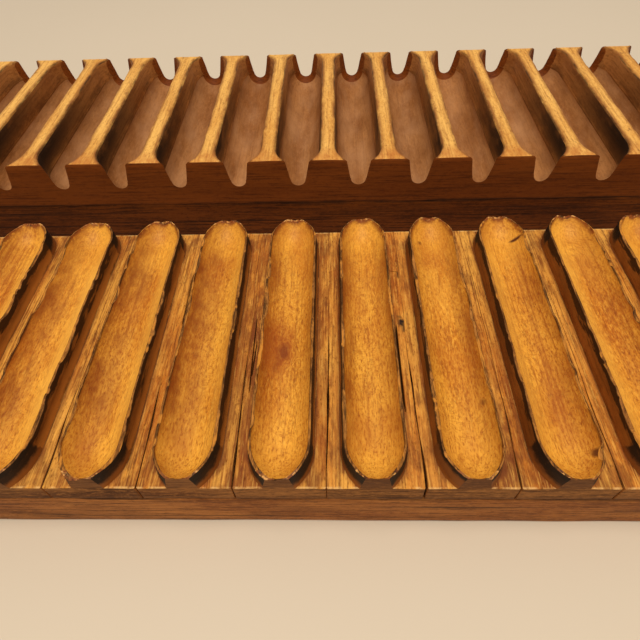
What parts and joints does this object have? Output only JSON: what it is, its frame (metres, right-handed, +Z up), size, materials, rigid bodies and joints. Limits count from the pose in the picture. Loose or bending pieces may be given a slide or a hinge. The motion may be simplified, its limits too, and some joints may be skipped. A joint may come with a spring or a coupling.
{
  "type": "cigar mould",
  "caption": "Antique wooden cigar mould lying open: a cavity half and a presser half that turns over onto it, with round-ended troughs, locating pins and screwed base boards.",
  "frame": {"origin": "on the table, under the middle of the space between the two halves, halfway along the row", "axes": "+X to the right along the row of cavities, +Y away from the viewer along the cigars, +Z up; the presser half is at -Y and the cavity half at +Y"},
  "size_m": [0.5588, 0.2326, 0.0457],
  "materials": {
    "presser_wood": "worn, waxed by use",
    "cavity_wood": "worn, tobacco-stained",
    "end_wood": "worn",
    "pin_wood": "smooth, turned",
    "bottom_board_wood": "dark, oiled",
    "top_board_wood": "dull, planed",
    "screw_steel": "dulled"
  },
  "bodies": {
    "bottom_half": {"bottom_base_board": "bottom_board_wood", "bottom_end_block_left": "end_wood", "bottom_end_block_right": "end_wood", "locating_pin_left": "pin_wood", "locating_pin_right": "pin_wood", "bottom_screws": "screw_steel", "cavity_block_01": "cavity_wood", "cavity_block_02": "cavity_wood", "cavity_block_03": "cavity_wood", "cavity_block_04": "cavity_wood", "cavity_block_05": "cavity_wood", "cavity_block_06": "cavity_wood", "cavity_block_07": "cavity_wood", "cavity_block_08": "cavity_wood", "cavity_block_09": "cavity_wood", "cavity_block_10": "cavity_wood", "cavity_block_11": "cavity_wood", "cavity_block_12": "cavity_wood", "cavity_block_13": "cavity_wood", "cavity_block_14": "cavity_wood", "cavity_block_15": "cavity_wood", "cavity_block_16": "cavity_wood", "cavity_block_17": "cavity_wood", "cavity_block_18": "cavity_wood", "cavity_block_19": "cavity_wood", "cavity_block_20": "cavity_wood"},
    "top_half": {"top_base_board": "top_board_wood", "top_end_block_left": "end_wood", "top_end_block_right": "end_wood", "top_screws": "screw_steel", "presser_block_01": "presser_wood", "presser_block_02": "presser_wood", "presser_block_03": "presser_wood", "presser_block_04": "presser_wood", "presser_block_05": "presser_wood", "presser_block_06": "presser_wood", "presser_block_07": "presser_wood", "presser_block_08": "presser_wood", "presser_block_09": "presser_wood", "presser_block_10": "presser_wood", "presser_block_11": "presser_wood", "presser_block_12": "presser_wood", "presser_block_13": "presser_wood", "presser_block_14": "presser_wood", "presser_block_15": "presser_wood", "presser_block_16": "presser_wood", "presser_block_17": "presser_wood", "presser_block_18": "presser_wood", "presser_block_19": "presser_wood", "presser_block_20": "presser_wood"}
  },
  "joints": [
    {"name": "turn_over", "type": "hinge", "parent": "bottom_half", "child": "top_half", "pos_m": [0, 0, 0.0323], "axis": [-1, 0, 0], "range_deg": [0, 180]}
  ]
}
